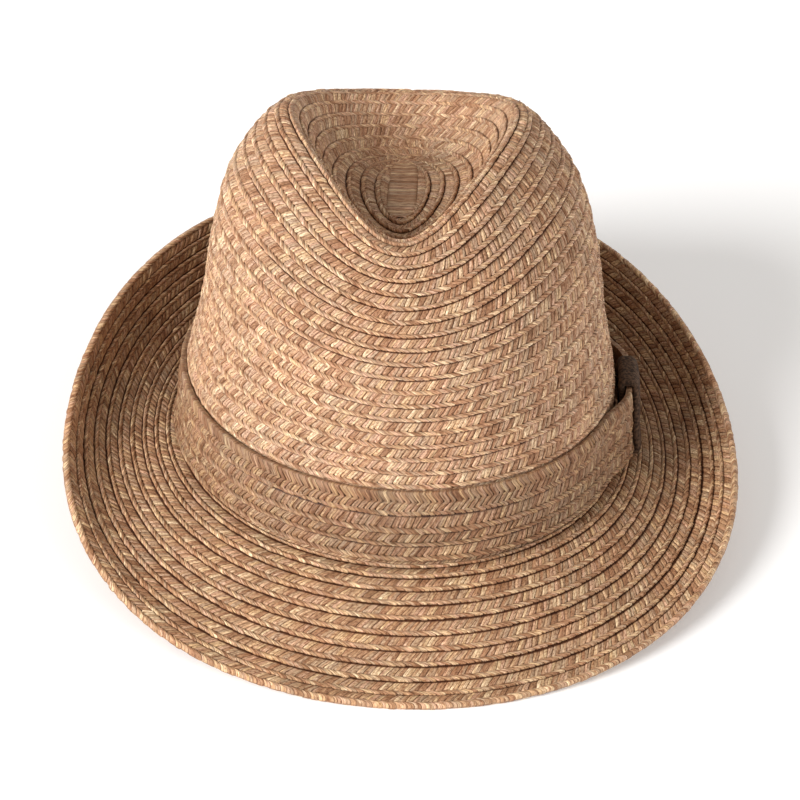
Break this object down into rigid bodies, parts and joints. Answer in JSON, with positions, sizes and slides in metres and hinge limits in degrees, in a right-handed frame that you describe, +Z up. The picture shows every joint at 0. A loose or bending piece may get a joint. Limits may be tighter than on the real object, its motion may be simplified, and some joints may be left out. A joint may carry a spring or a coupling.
{
  "type": "straw trilby hat",
  "caption": "Sewn straw-braid trilby: pinched teardrop crown, brim turned down in front and up behind, braid band and leather keeper.",
  "frame": {"origin": "on the floor, under the middle of the hat's overall box", "axes": "+Z up, -Y towards the front of the hat, +X towards the wearer's left"},
  "size_m": [0.2692, 0.3034, 0.14],
  "materials": {
    "straw_braid": "plaited straw, matt with a slight sheen",
    "dark_leather": "matt, slightly fibrous"
  },
  "bodies": {
    "root": {"crown": "straw_braid", "brim": "straw_braid", "hat_band": "straw_braid", "band_keeper": "dark_leather"}
  },
  "joints": []
}
